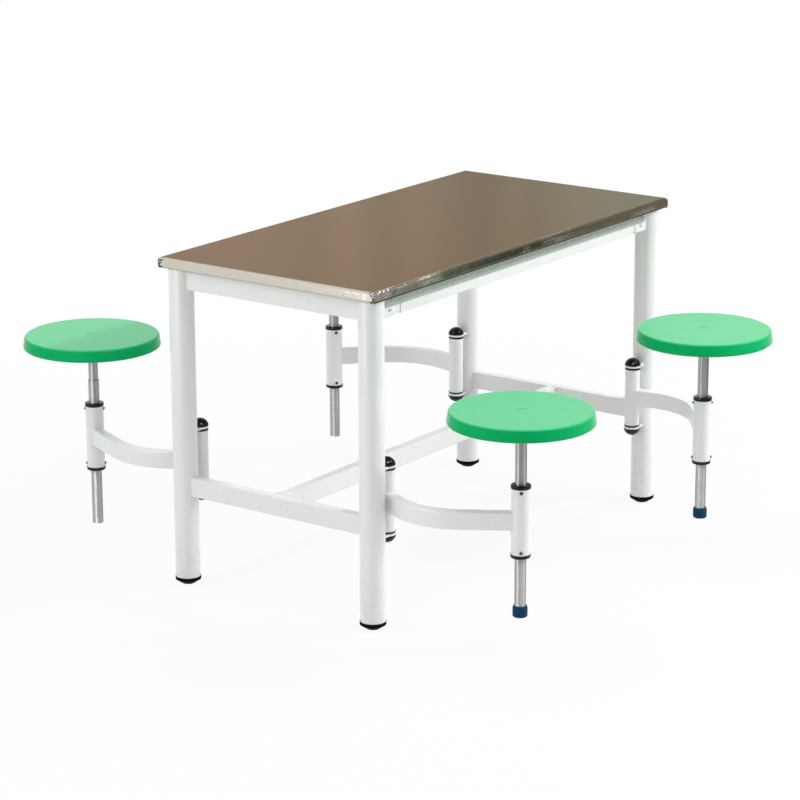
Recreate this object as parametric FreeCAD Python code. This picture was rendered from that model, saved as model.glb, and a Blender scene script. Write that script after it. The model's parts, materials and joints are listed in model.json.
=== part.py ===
import FreeCAD, Part
import math
import os

# Canteen table with a swinging, height-adjustable, turning seat at each of its four legs.
# Millimetres. The origin is on the floor under the middle of the table, +X runs along the
# table and +Z is up.

# The table as a whole
table_length = 1200.0
table_width = 600.0
table_height = 770.0

# Top: a sheet skin with a rolled edge, folded over a board
edge_depth = 25.5
edge_top_radius = 9.0
edge_bottom_radius = 6.0
skin_gauge = 1.2
skin_lip = 32.0
corner_slit = 2.0
corner_slit_drop = 2.5
corner_seam_run = 14.0
corner_seam_depth = 5.0

# Legs and their feet
leg_diameter = 57.0
leg_wall = 2.0
leg_inset = 36.0
foot_height = 17.5
foot_rim_height = 7.5
foot_overhang = 1.0
foot_flat_inset = 14.0
foot_plug_depth = 22.0

# Rails: rectangular tubes
rail_width = 25.0
rail_wall = 2.0
apron_depth = 47.5
stretcher_depth = 44.0
stretcher_height = 235.5
tube_corner_share = 1.5

# Open joint between a long apron and the stub on a leg
stub_length = 44.5
apron_joint_gap = 19.0
spigot_insert = 35.0
spigot_end_gap = 6.0

# Angle strips that tie the top to the long aprons
strip_gauge = 1.5
strip_drop = 25.0
strip_reach = 14.0
strip_end_gap = 6.0

# Pan-head screws of the frame
frame_screw_diameter = 6.0
frame_screw_head = 10.0
frame_screw_head_height = 3.0
frame_screw_length = 12.0
strip_screw_drop = 11.0
stub_screw_drop = 31.5

# Pivot of an arm: ears on the leg, pin, domed caps, tube and its bushes
pivot_gap = 7.5
pivot_tube_diameter = 36.0
pivot_tube_wall = 3.0
pivot_tube_length = 141.0
pivot_bush_flange = 38.0
pivot_bush_flange_height = 4.5
pivot_bush_depth = 24.0
pin_diameter = 14.0
ear_thickness = 5.0
ear_diameter = 37.0
ear_neck = 28.0
cap_diameter = 39.0
cap_height = 18.0
cap_rim = 3.0
cap_bore_depth = 9.0

# Arm: a rectangular tube bent once in plan
arm_height = 282.5
arm_depth = 40.0
arm_width = 25.0
arm_wall = 2.0
arm_first_run = 152.6
arm_second_run = 220.6
arm_bend_radius = 160.0
arm_bend = 60.0

# Sleeve at the arm's end, with its bushes and clamp screws
sleeve_diameter = 42.0
sleeve_wall = 2.5
sleeve_length = 148.0
sleeve_bush_flange = 44.5
sleeve_bush_flange_height = 8.0
sleeve_bush_depth = 26.0
bush_round = 3.0
sleeve_screw_diameter = 4.0
sleeve_screw_head = 8.0
sleeve_screw_head_height = 3.0
sleeve_screw_inset = 7.0
sleeve_screw_pole_gap = 1.0

# Pole, the plug inside it and the cap on its end
pole_diameter = 25.0
pole_wall = 1.45
pole_length = 350.0
pole_top = 419.0
capped_pole_rise = 51.0
stem_rest_height = 12.0
pole_cap_diameter = 33.0
pole_cap_top_diameter = 29.5
pole_cap_height = 25.5
pole_cap_floor = 3.5
pole_cap_corner = 4.0
pole_cap_shoulder = 5.0

# Seat: stem with a flange, screws and a moulded shell
stem_wall = 2.5
stem_insert = 100.0
stem_flange_diameter = 130.0
stem_flange_thickness = 3.0
seat_top = 529.0
seat_diameter = 320.0
seat_thickness = 28.0
seat_wall = 3.5
seat_side_lean = 9.0
seat_shoulder = 5.5
seat_rim_round = 4.0
seat_gate_diameter = 22.0
seat_gate_depth = 0.5
seat_boss_depth = 12.0
seat_boss_diameter = 15.0
seat_hub_diameter = 34.0
seat_rib_thickness = 2.5
seat_rib_count = 8
seat_screw_circle = 96.0
seat_screw_count = 4
seat_screw_diameter = 5.0
seat_screw_head = 9.0
seat_screw_head_height = 3.0
seat_screw_grip = 9.0

# Clearances: a turning or sliding fit, a pressed or threaded seat, a welded butt, play along a pivot
running_clearance = 0.05
seat_clearance = 0.05
weld_gap = 0.05
pivot_play = 0.4

# One overrun for every cut
overrun = 5.0

# Where each seat stands: the leg's side along X and Y, the hand of the bend, the heading of the
# arm's first run in degrees from +X, the turn of its clamp screws from the arm, and the pole's cap
seats = {
    "near": {"side": (-1, -1), "hand": 1, "heading": -118.1, "screw_turn": 95.0, "capped": True},
    "left": {"side": (-1, 1), "hand": -1, "heading": 125.4, "screw_turn": 60.0, "capped": False},
    "right": {"side": (1, -1), "hand": -1, "heading": -82.0, "screw_turn": 88.0, "capped": True},
    "back": {"side": (1, 1), "hand": 1, "heading": 74.6, "screw_turn": 98.0, "capped": False},
}

# Places worked out from the sizes above
leg_x = table_length / 2 - leg_inset
leg_y = table_width / 2 - leg_inset
leg_radius = leg_diameter / 2
frame_top = table_height - edge_depth
apron_height = frame_top - apron_depth / 2
apron_face = leg_y + rail_width / 2
stub_end = leg_x - leg_radius - stub_length
apron_half = stub_end - apron_joint_gap
pivot_offset = leg_radius + pivot_gap + pivot_tube_diameter / 2
pivot_tube_low = arm_height - pivot_tube_length / 2
pivot_tube_high = arm_height + pivot_tube_length / 2
lower_ear_top = pivot_tube_low - pivot_bush_flange_height
upper_ear_bottom = pivot_tube_high + pivot_bush_flange_height + pivot_play
pin_low = lower_ear_top - ear_thickness - cap_bore_depth
pin_high = upper_ear_bottom + ear_thickness + cap_bore_depth
sleeve_low = arm_height - sleeve_length / 2
sleeve_high = arm_height + sleeve_length / 2
pole_low = pole_top - pole_length
pole_bore = pole_diameter - pole_wall - pole_wall
stem_diameter = pole_bore - running_clearance - running_clearance
stem_low = pole_top - stem_insert
seat_low = seat_top - seat_thickness
flange_top = seat_top - seat_wall - seat_boss_depth
flange_low = flange_top - stem_flange_thickness
half_turn = 180.0
full_turn = 360.0
both_sides = (-1, 1)
corners = [(side_x, side_y) for side_x in both_sides for side_y in both_sides]
up = FreeCAD.Vector(0, 0, 1)


def vec(x=0.0, y=0.0, z=0.0):
    return FreeCAD.Vector(x, y, z)


def polar(radius, degrees, z=0.0):
    turn = math.radians(degrees)
    return vec(radius * math.cos(turn), radius * math.sin(turn), z)


def placed(shape, move=None, turn=0.0):
    """A copy of the shape, turned about the Z axis and then moved."""
    result = shape.copy()
    result.rotate(vec(), up, turn)
    result.translate(move or vec())
    return result


def cylinder(radius, low, high, place=None):
    at = place or vec()
    return Part.makeCylinder(radius, high - low, vec(at.x, at.y, low))


def ring(radius, bore_radius, low, high, place=None):
    return cylinder(radius, low, high, place).cut(cylinder(bore_radius, low - overrun, high + overrun, place))


def arc_to(start, centre, end):
    """The middle and end point of an arc of less than a half circle about the centre."""
    outward = (start - centre) + (end - centre)
    outward.normalize()
    return centre + outward * (start - centre).Length, end


def profile(start, steps):
    """A face in the XZ plane: a step is an end point for a line, or a middle and end point for an arc."""
    edges = []
    here = start
    for step in steps:
        if isinstance(step, tuple):
            edges.append(Part.Arc(here, step[0], step[1]).toShape())
            here = step[1]
        else:
            edges.append(Part.LineSegment(here, step).toShape())
            here = step
    if here != start:
        edges.append(Part.LineSegment(here, start).toShape())
    return Part.Face(Part.Wire(edges))


def turned(start, steps):
    """A solid of revolution about Z from a profile in the XZ plane."""
    return profile(start, steps).revolve(vec(), up, full_turn)


def rounded_face(width, low, high, low_radius, high_radius):
    """An upright face in the XZ plane with rounded lower and upper corners."""
    half = width / 2
    right_low = vec(half - low_radius, 0, low)
    right_low_end = vec(half, 0, low + low_radius)
    right_high = vec(half, 0, high - high_radius)
    right_high_end = vec(half - high_radius, 0, high)
    left_high = vec(high_radius - half, 0, high)
    left_high_end = vec(-half, 0, high - high_radius)
    left_low = vec(-half, 0, low + low_radius)
    left_low_end = vec(low_radius - half, 0, low)
    return profile(left_low_end, [
        right_low,
        arc_to(right_low, vec(half - low_radius, 0, low + low_radius), right_low_end),
        right_high,
        arc_to(right_high, vec(half - high_radius, 0, high - high_radius), right_high_end),
        left_high,
        arc_to(left_high, vec(high_radius - half, 0, high - high_radius), left_high_end),
        left_low,
        arc_to(left_low, vec(low_radius - half, 0, low + low_radius), left_low_end),
    ])


def tube_section(width, depth, wall):
    """The section of a rectangular tube, facing along X."""
    corner = wall * tube_corner_share
    half = depth / 2
    outer = rounded_face(width, -half, half, corner, corner)
    inner = rounded_face(width - wall - wall, wall - half, half - wall, corner - wall, corner - wall)
    return placed(outer.cut(inner).Faces[0], turn=half_turn / 2)


def rail(length, depth, middle, turn=0.0):
    """A rectangular tube centred on the point, along X or turned about Z."""
    bar = tube_section(rail_width, depth, rail_wall).extrude(vec(length))
    bar.translate(vec(-length / 2))
    return placed(bar, middle, turn)


def rolled_slab(length, width, low, high, low_radius, high_radius):
    """A slab with rounded edges that meet in mitres at its corners."""
    across = placed(rounded_face(width, low, high, low_radius, high_radius), vec(-length / 2), half_turn / 2)
    along = placed(rounded_face(length, low, high, low_radius, high_radius), vec(0, -width / 2))
    return across.extrude(vec(length)).common(along.extrude(vec(0, width)))


def screw(head, head_height, diameter, length):
    """A pan-head screw along Z: its head stands above zero and its shank reaches below."""
    radius = head / 2
    crown = vec(0, 0, head_height)
    dome_radius = (radius ** 2 + head_height ** 2) / (head_height + head_height)
    dome_centre = vec(0, 0, head_height - dome_radius)
    rim = vec(radius)
    return turned(vec(0, 0, -length), [
        vec(diameter / 2, 0, -length),
        vec(diameter / 2),
        rim,
        arc_to(rim, dome_centre, crown),
    ])


def leg_place(side_x, side_y, z=0.0):
    return vec(side_x * leg_x, side_y * leg_y, z)


def pivot_place(side_x, side_y):
    return vec(side_x * (leg_x - pivot_offset), side_y * leg_y)


def corner_cuts(side_x, side_y):
    """The cuts that let the sheet fold at a corner: a mitre in the lip and a seam up the end face."""
    corner = vec(side_x * table_length / 2, side_y * table_width / 2)
    reach = (skin_lip + overrun) * math.sqrt(2)
    mitre = Part.makeBox(
        reach + overrun, corner_slit, edge_bottom_radius + overrun,
        vec(-reach, -corner_slit / 2, frame_top - overrun),
    )
    rise = edge_depth - corner_slit_drop
    lean = math.degrees(math.atan2(corner_seam_run, rise))
    seam = Part.makeBox(
        corner_seam_depth + overrun, corner_slit, overrun + math.hypot(rise, corner_seam_run),
        vec(-corner_seam_depth, -corner_slit / 2, -overrun),
    )
    seam.rotate(vec(), vec(1), lean)
    if side_y < 0:
        seam = seam.mirror(vec(), vec(0, 1))
    if side_x < 0:
        seam = seam.mirror(vec(), vec(1))
    heading = math.degrees(math.atan2(side_y, side_x))
    return [placed(mitre, corner, heading), placed(seam, corner + vec(0, 0, frame_top))]


def make_top_skin():
    outer = rolled_slab(
        table_length, table_width, frame_top, table_height, edge_bottom_radius, edge_top_radius
    )
    inner = rolled_slab(
        table_length - skin_gauge - skin_gauge,
        table_width - skin_gauge - skin_gauge,
        frame_top + skin_gauge,
        table_height - skin_gauge,
        edge_bottom_radius - skin_gauge,
        edge_top_radius - skin_gauge,
    )
    open_length = table_length - skin_lip - skin_lip
    open_width = table_width - skin_lip - skin_lip
    opening = Part.makeBox(
        open_length, open_width, overrun + edge_depth / 2,
        vec(-open_length / 2, -open_width / 2, frame_top - overrun),
    )
    slits = [cut for corner in corners for cut in corner_cuts(*corner)]
    return outer.cut([inner, opening] + slits)


def make_top_core():
    inset = max(edge_top_radius, edge_bottom_radius)
    length = table_length - inset - inset
    width = table_width - inset - inset
    height = edge_depth - skin_gauge - skin_gauge
    return Part.makeBox(length, width, height, vec(-length / 2, -width / 2, frame_top + skin_gauge))


def make_edge_strip(side_y, holes):
    length = 2 * (leg_x - leg_radius - strip_end_gap)
    corner = vec(-length / 2, apron_face, frame_top)
    upright = Part.makeBox(length, strip_gauge, strip_drop, corner - vec(0, 0, strip_drop))
    flange = Part.makeBox(length, strip_reach, strip_gauge, corner - vec(0, 0, strip_gauge))
    strip = upright.fuse(flange).removeSplitter()
    if side_y < 0:
        strip = placed(strip, turn=half_turn)
    return strip.cut(holes)


def make_leg(side_x, side_y):
    return ring(leg_radius, leg_radius - leg_wall, foot_height, frame_top, leg_place(side_x, side_y))


def make_foot_plug():
    """A plug with an upright rim, tapering below it to a small flat."""
    rim_radius = leg_radius + foot_overhang
    plug_radius = leg_radius - leg_wall - seat_clearance
    return turned(vec(), [
        vec(leg_radius - foot_flat_inset),
        vec(rim_radius, 0, foot_height - foot_rim_height),
        vec(rim_radius, 0, foot_height),
        vec(plug_radius, 0, foot_height),
        vec(plug_radius, 0, foot_height + foot_plug_depth),
        vec(0, 0, foot_height + foot_plug_depth),
    ])


def leg_cutters():
    """The legs' outsides, which the rails are coped to."""
    radius = leg_radius + weld_gap
    return [cylinder(radius, -overrun, table_height, leg_place(*corner)) for corner in corners]


def make_end_rail(side_x, depth, height):
    bar = rail(leg_y + leg_y, depth, vec(side_x * leg_x, 0, height), half_turn / 2)
    return bar.cut(leg_cutters())


def make_long_apron(side_y):
    return rail(apron_half + apron_half, apron_depth, vec(0, side_y * leg_y, apron_height))


def make_apron_stub(side_x, side_y, holes):
    length = leg_x - stub_end
    middle = vec(side_x * (stub_end + length / 2), side_y * leg_y, apron_height)
    return rail(length, apron_depth, middle).cut(leg_cutters() + holes)


def make_apron_spigot(side_x, side_y, holes):
    """The bar inside stub and apron that carries the open joint between them."""
    slip = rail_wall + seat_clearance
    width = rail_width - slip - slip
    depth = apron_depth - slip - slip
    inner_end = apron_half - spigot_insert
    length = leg_x - leg_radius - spigot_end_gap - inner_end
    bar = tube_section(width, depth, rail_wall).extrude(vec(length))
    middle_x = side_x * (inner_end + length / 2)
    bar.translate(vec(middle_x - length / 2, side_y * leg_y, apron_height))
    return bar.cut(holes)


def frame_screw_places():
    """Point and outward direction of each screw: through the strip above, through the stub below."""
    middle = stub_end + stub_length / 2
    places = []
    for side_x, side_y in corners:
        outward = vec(0, side_y)
        on_strip = vec(side_x * middle, side_y * (apron_face + strip_gauge), frame_top - strip_screw_drop)
        on_stub = vec(side_x * middle, side_y * apron_face, frame_top - stub_screw_drop)
        places.append((on_strip, outward))
        places.append((on_stub, outward))
    return places


def aimed(shape, point, outward):
    """The shape, made along Z, laid along the outward direction at the point."""
    result = shape.copy()
    result.Placement = FreeCAD.Placement(point, FreeCAD.Rotation(up, outward))
    return result


def make_frame_screws():
    one = screw(frame_screw_head, frame_screw_head_height, frame_screw_diameter, frame_screw_length)
    return [aimed(one, point, outward) for point, outward in frame_screw_places()]


def frame_screw_holes():
    radius = frame_screw_diameter / 2 + seat_clearance
    hole = cylinder(radius, -frame_screw_length - overrun, overrun)
    return [aimed(hole, point, outward) for point, outward in frame_screw_places()]


def make_centre_stretcher():
    length = 2 * (leg_x - rail_width / 2)
    return rail(length, stretcher_depth, vec(0, 0, stretcher_height))


def make_ear(side_x, side_y, low):
    """A plate from the leg to the pivot, with a round end and a hole for the pin."""
    pivot = pivot_place(side_x, side_y)
    high = low + ear_thickness
    neck = Part.makeBox(pivot_offset, ear_neck, ear_thickness, vec(0, -ear_neck / 2, low))
    turn = 0.0 if side_x > 0 else half_turn
    plate = cylinder(ear_diameter / 2, low, high, pivot).fuse(placed(neck, pivot, turn)).removeSplitter()
    leg = cylinder(leg_radius + weld_gap, low - overrun, high + overrun, leg_place(side_x, side_y))
    hole = cylinder(pin_diameter / 2 + seat_clearance, low - overrun, high + overrun, pivot)
    return plate.cut([leg, hole])


def make_pin(side_x, side_y):
    return cylinder(pin_diameter / 2, pin_low, pin_high, pivot_place(side_x, side_y))


def make_cap(side_x, side_y, base, pointing):
    """A domed cap over a pin end, pointing up or down from its base."""
    radius = cap_diameter / 2
    rise = cap_height - cap_rim
    dome_radius = (radius ** 2 + rise ** 2) / (rise + rise)
    rim = vec(radius, 0, cap_rim)
    crown = vec(0, 0, cap_height)
    bore_radius = pin_diameter / 2 + seat_clearance
    dome = turned(vec(bore_radius), [
        vec(radius),
        rim,
        arc_to(rim, crown - vec(0, 0, dome_radius), crown),
        vec(0, 0, cap_bore_depth),
        vec(bore_radius, 0, cap_bore_depth),
    ])
    if pointing < 0:
        dome.rotate(vec(), vec(1), half_turn)
    return placed(dome, pivot_place(side_x, side_y) + vec(0, 0, base))


def flanged_bush(flange, flange_height, body, depth, bore):
    """A bush along Z: its flange stands above zero with a rounded rim, its body reaches below."""
    rim = flange / 2
    side = vec(rim, 0, flange_height - bush_round)
    face = vec(rim - bush_round, 0, flange_height)
    return turned(vec(bore / 2, 0, -depth), [
        vec(body / 2, 0, -depth),
        vec(body / 2),
        vec(rim),
        side,
        arc_to(side, vec(face.x, 0, side.z), face),
        vec(bore / 2, 0, flange_height),
    ])


def pair_of(bush, low, high, place):
    """The same bush in both ends of an upright tube."""
    upper = placed(bush, place + vec(0, 0, high))
    lower = bush.copy()
    lower.rotate(vec(), vec(1), half_turn)
    return [upper, placed(lower, place + vec(0, 0, low))]


def sleeve_place(seat):
    """The seat sleeve's axis: the end of the arm's second run."""
    bend_corner = pivot_place(*seat["side"]) + polar(arm_first_run, seat["heading"])
    return bend_corner + polar(arm_second_run, seat["heading"] + seat["hand"] * arm_bend)


def make_arm_tube(seat):
    """A rectangular tube of two straight runs and a bend, coped to pivot tube and sleeve."""
    hand = seat["hand"]
    setback = arm_bend_radius * math.tan(math.radians(arm_bend / 2))
    section = tube_section(arm_width, arm_depth, arm_wall)
    first = section.extrude(vec(arm_first_run - setback))
    bend_start = placed(section, vec(arm_first_run - setback))
    bend_centre = vec(arm_first_run - setback, hand * arm_bend_radius)
    bend = bend_start.revolve(bend_centre, up * hand, arm_bend)
    corner = vec(arm_first_run)
    second_start = placed(section, corner + polar(setback, hand * arm_bend), hand * arm_bend)
    second = second_start.extrude(polar(arm_second_run - setback, hand * arm_bend))
    bar = first.fuse([bend, second]).removeSplitter()
    bar = placed(bar, pivot_place(*seat["side"]) + vec(0, 0, arm_height), seat["heading"])
    low = arm_height - arm_depth
    high = arm_height + arm_depth
    pivot_end = cylinder(pivot_tube_diameter / 2 + weld_gap, low, high, pivot_place(*seat["side"]))
    sleeve_end = cylinder(sleeve_diameter / 2 + weld_gap, low, high, sleeve_place(seat))
    return bar.cut([pivot_end, sleeve_end])


def sleeve_screw_places(seat):
    """Point and outward direction of the clamp screws, two opposite ones near each end of the sleeve."""
    axis = sleeve_place(seat)
    arm_heading = seat["heading"] + seat["hand"] * arm_bend
    places = []
    for z in (sleeve_low + sleeve_screw_inset, sleeve_high - sleeve_screw_inset):
        for side in both_sides:
            heading = arm_heading + side * half_turn / 2 + seat["screw_turn"] - half_turn / 2
            outward = polar(1.0, heading)
            places.append((axis + outward * (sleeve_diameter / 2) + vec(0, 0, z), outward))
    return places


def sleeve_screw_length():
    return sleeve_diameter / 2 - pole_diameter / 2 - sleeve_screw_pole_gap


def make_sleeve_screws(seat):
    one = screw(sleeve_screw_head, sleeve_screw_head_height, sleeve_screw_diameter, sleeve_screw_length())
    return [aimed(one, point, outward) for point, outward in sleeve_screw_places(seat)]


def sleeve_screw_holes(seat):
    radius = sleeve_screw_diameter / 2 + seat_clearance
    hole = cylinder(radius, -sleeve_screw_length(), overrun)
    return [aimed(hole, point, outward) for point, outward in sleeve_screw_places(seat)]


def make_pivot_tube(seat):
    radius = pivot_tube_diameter / 2
    place = pivot_place(*seat["side"])
    return ring(radius, radius - pivot_tube_wall, pivot_tube_low, pivot_tube_high, place)


def make_seat_sleeve(seat):
    radius = sleeve_diameter / 2
    tube = ring(radius, radius - sleeve_wall, sleeve_low, sleeve_high, sleeve_place(seat))
    return tube.cut(sleeve_screw_holes(seat))


def make_arm_bushes(seat):
    pivot_body = pivot_tube_diameter - 2 * (pivot_tube_wall + seat_clearance)
    pivot_bore = pin_diameter + running_clearance + running_clearance
    pivot_bush = flanged_bush(
        pivot_bush_flange, pivot_bush_flange_height, pivot_body, pivot_bush_depth, pivot_bore
    )
    sleeve_body = sleeve_diameter - 2 * (sleeve_wall + seat_clearance)
    sleeve_bore = pole_diameter + running_clearance + running_clearance
    sleeve_bush = flanged_bush(
        sleeve_bush_flange, sleeve_bush_flange_height, sleeve_body, sleeve_bush_depth, sleeve_bore
    )
    in_sleeve = pair_of(sleeve_bush, sleeve_low, sleeve_high, sleeve_place(seat))
    in_pivot = pair_of(pivot_bush, pivot_tube_low, pivot_tube_high, pivot_place(*seat["side"]))
    holes = sleeve_screw_holes(seat)
    return in_pivot + [bush.cut(holes) for bush in in_sleeve]


def make_pole(seat):
    top = pole_top + capped_pole_rise if seat["capped"] else pole_top
    return ring(pole_diameter / 2, pole_bore / 2, pole_low, top, sleeve_place(seat))


def make_stem_rest(seat):
    return cylinder(pole_bore / 2 - seat_clearance, stem_low - stem_rest_height, stem_low, sleeve_place(seat))


def make_pole_cap(seat):
    """A soft cup pushed over the pole's end, fullest below its rim."""
    radius = pole_cap_diameter / 2
    bore_radius = pole_diameter / 2 + seat_clearance
    corner_start = vec(radius - pole_cap_corner)
    corner_centre = vec(radius - pole_cap_corner, 0, pole_cap_corner)
    cup = turned(vec(), [
        corner_start,
        arc_to(corner_start, corner_centre, vec(radius, 0, pole_cap_corner)),
        vec(radius, 0, pole_cap_height - pole_cap_shoulder),
        vec(pole_cap_top_diameter / 2, 0, pole_cap_height),
        vec(bore_radius, 0, pole_cap_height),
        vec(bore_radius, 0, pole_cap_floor),
        vec(0, 0, pole_cap_floor),
    ])
    return placed(cup, sleeve_place(seat) + vec(0, 0, pole_low - pole_cap_floor))


def seat_screw_places(seat):
    step = full_turn / seat_screw_count
    axis = sleeve_place(seat)
    headings = [step / 2 + step * i for i in range(seat_screw_count)]
    return [axis + polar(seat_screw_circle / 2, heading, flange_low) for heading in headings]


def make_seat_stem(seat):
    """The tube that turns in the pole, with the flange that carries the seat."""
    place = sleeve_place(seat)
    tube = ring(stem_diameter / 2, stem_diameter / 2 - stem_wall, stem_low, flange_low, place)
    flange = cylinder(stem_flange_diameter / 2, flange_low, flange_top, place)
    hole = cylinder(seat_screw_diameter / 2 + seat_clearance, -overrun, stem_flange_thickness + overrun)
    holes = [placed(hole, at) for at in seat_screw_places(seat)]
    return tube.fuse(flange).cut(holes)


def make_seat_screws(seat):
    length = stem_flange_thickness + seat_screw_grip
    one = screw(seat_screw_head, seat_screw_head_height, seat_screw_diameter, length)
    return [aimed(one, point, -up) for point in seat_screw_places(seat)]


def make_seat_shell(seat):
    """A moulded disc: flat top, round shoulder, a side that leans out to its rim, ribs and bosses below."""
    top = seat_thickness
    under = top - seat_wall
    lean = math.radians(seat_side_lean)
    outward = vec(math.cos(lean), 0, math.sin(lean))
    uphill = vec(-math.sin(lean), 0, math.cos(lean))
    rim_centre = vec(seat_diameter / 2 - seat_rim_round, 0, seat_rim_round)
    rim_low = vec(rim_centre.x)
    side_low = rim_centre + outward * seat_rim_round
    inset = side_low - outward * seat_shoulder
    centre = inset + uphill * ((top - seat_shoulder - inset.z) / uphill.z)
    side_high = centre + outward * seat_shoulder
    inside_top = vec(centre.x, 0, under)
    inside_side = centre + vec(seat_shoulder - seat_wall)
    shell = turned(rim_low, [
        arc_to(rim_low, rim_centre, side_low),
        side_high,
        arc_to(side_high, centre, vec(centre.x, 0, top)),
        vec(seat_gate_diameter / 2, 0, top),
        vec(seat_gate_diameter / 2, 0, top - seat_gate_depth),
        vec(0, 0, top - seat_gate_depth),
        vec(0, 0, under),
        inside_top,
        arc_to(inside_top, centre, inside_side),
        vec(rim_low.x - seat_wall / 2),
    ])
    low = under - seat_boss_depth
    stiffeners = [cylinder(seat_hub_diameter / 2, low, under)]
    for i in range(seat_rib_count):
        reach = inside_side.x + seat_wall / 2
        rib = Part.makeBox(reach, seat_rib_thickness, seat_boss_depth, vec(0, -seat_rib_thickness / 2, low))
        stiffeners.append(placed(rib, turn=i * full_turn / seat_rib_count))
    place = sleeve_place(seat) + vec(0, 0, seat_low)
    holes = []
    for point in seat_screw_places(seat):
        at = point - sleeve_place(seat)
        stiffeners.append(cylinder(seat_boss_diameter / 2, low, under, at))
        hole_radius = seat_screw_diameter / 2 + seat_clearance
        holes.append(cylinder(hole_radius, low - overrun, low + seat_screw_grip, at))
    return placed(shell.fuse(stiffeners).removeSplitter().cut(holes), place)


def export(name, *shapes):
    """One node: a single solid, or a group of separate ones."""
    whole = shapes[0] if len(shapes) == 1 else Part.makeCompound(list(shapes))
    whole.exportStep("parts/" + name + ".step")


def build_table():
    holes = frame_screw_holes()
    low_ear = lower_ear_top - ear_thickness
    high_cap = upper_ear_bottom + ear_thickness
    export("top_skin", make_top_skin())
    export("top_core", make_top_core())
    export("edge_strips", *[make_edge_strip(side_y, holes) for side_y in both_sides])
    for name, seat in seats.items():
        export(name + "_leg", make_leg(*seat["side"]))
    export("foot_plugs", *[placed(make_foot_plug(), leg_place(*corner)) for corner in corners])
    export("end_aprons", *[make_end_rail(side_x, apron_depth, apron_height) for side_x in both_sides])
    export("long_aprons", *[make_long_apron(side_y) for side_y in both_sides])
    export("apron_stubs", *[make_apron_stub(*corner, holes) for corner in corners])
    export("apron_spigots", *[make_apron_spigot(*corner, holes) for corner in corners])
    export("frame_screws", *make_frame_screws())
    stretchers = [make_end_rail(side_x, stretcher_depth, stretcher_height) for side_x in both_sides]
    export("end_stretchers", *stretchers)
    export("centre_stretcher", make_centre_stretcher())
    ears = [make_ear(*corner, low) for corner in corners for low in (low_ear, upper_ear_bottom)]
    export("pivot_ears", *ears)
    export("pivot_pins", *[make_pin(*corner) for corner in corners])
    caps = [make_cap(*corner, high_cap, 1) for corner in corners]
    caps += [make_cap(*corner, low_ear, -1) for corner in corners]
    export("pivot_caps", *caps)


def build_seat(name, seat):
    export(name + "_pivot_tube", make_pivot_tube(seat))
    export(name + "_arm_tube", make_arm_tube(seat))
    export(name + "_seat_sleeve", make_seat_sleeve(seat))
    export(name + "_arm_bushes", *make_arm_bushes(seat))
    export(name + "_sleeve_screws", *make_sleeve_screws(seat))
    export(name + "_pole", make_pole(seat))
    export(name + "_stem_rest", make_stem_rest(seat))
    if seat["capped"]:
        export(name + "_pole_cap", make_pole_cap(seat))
    export(name + "_seat_stem", make_seat_stem(seat))
    export(name + "_seat_screws", *make_seat_screws(seat))
    export(name + "_seat_shell", make_seat_shell(seat))


os.makedirs("parts", exist_ok=True)
build_table()
for seat_name, seat_values in seats.items():
    build_seat(seat_name, seat_values)
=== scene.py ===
# %% [markdown]
# # A canteen table with four swinging seats
#
# The construction model arrives as a fixed frame: every tube, bush, pole and seat already has its
# real size and place, in metres, with the floor at z = 0. What is left for this notebook is the
# studio, the finishes and the small work that a hand adds: weld beads, folded corners with a dark bead
# of painted shade in their slits, and screw heads.
# Nothing that the frame brings is moved.

# %% Load the frame and keep its box
import json
import math

import bmesh
import bpy
from mathutils import Matrix, Vector


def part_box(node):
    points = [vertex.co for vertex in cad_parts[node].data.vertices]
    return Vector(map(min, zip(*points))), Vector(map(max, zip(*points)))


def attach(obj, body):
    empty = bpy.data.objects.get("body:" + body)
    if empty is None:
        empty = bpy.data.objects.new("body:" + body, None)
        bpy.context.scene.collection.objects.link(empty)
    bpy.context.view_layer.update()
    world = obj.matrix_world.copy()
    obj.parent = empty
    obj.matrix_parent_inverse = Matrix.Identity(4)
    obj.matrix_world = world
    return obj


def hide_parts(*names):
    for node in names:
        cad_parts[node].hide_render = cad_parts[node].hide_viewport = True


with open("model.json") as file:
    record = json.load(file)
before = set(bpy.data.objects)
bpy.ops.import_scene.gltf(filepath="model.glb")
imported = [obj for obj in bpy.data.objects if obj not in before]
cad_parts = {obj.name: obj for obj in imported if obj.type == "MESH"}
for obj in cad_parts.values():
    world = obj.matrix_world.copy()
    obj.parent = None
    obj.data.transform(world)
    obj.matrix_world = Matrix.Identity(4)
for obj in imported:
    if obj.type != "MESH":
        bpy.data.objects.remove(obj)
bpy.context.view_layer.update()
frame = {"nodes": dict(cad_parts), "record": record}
seat_names = ["near", "left", "right", "back"]

# %% [markdown]
# ## Camera
#
# The photograph was taken with a long lens from above one corner. A camera is easiest to place by
# three turns: tip it up from looking straight down, roll it a hair, then turn it about the upright
# axis. The lens follows from the focal length measured in pixels, because the sensor's width and the
# picture's width show the same angle.

# %% Place the camera
picture_width = 800
focal_length = 2954.1
camera_spot = Vector((-5.4767, -3.9143, 2.2472))
camera_heading = math.radians(36.04)
camera_dip = math.radians(15.753)
camera_roll = math.radians(-0.231)
quarter_turn = math.radians(90)

lens = bpy.data.cameras.new("table_camera")
lens.sensor_width = 36.0
lens.lens = lens.sensor_width * focal_length / picture_width
camera = bpy.data.objects.new("table_camera", lens)
bpy.context.scene.collection.objects.link(camera)
turn_about_z = Matrix.Rotation(camera_heading - quarter_turn, 4, "Z")
tip = Matrix.Rotation(quarter_turn - camera_dip, 4, "X")
roll = Matrix.Rotation(camera_roll, 4, "Z")
camera.matrix_world = Matrix.Translation(camera_spot) @ turn_about_z @ tip @ roll
bpy.context.scene.camera = camera
print("lens", round(lens.lens, 1), "mm")

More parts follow.
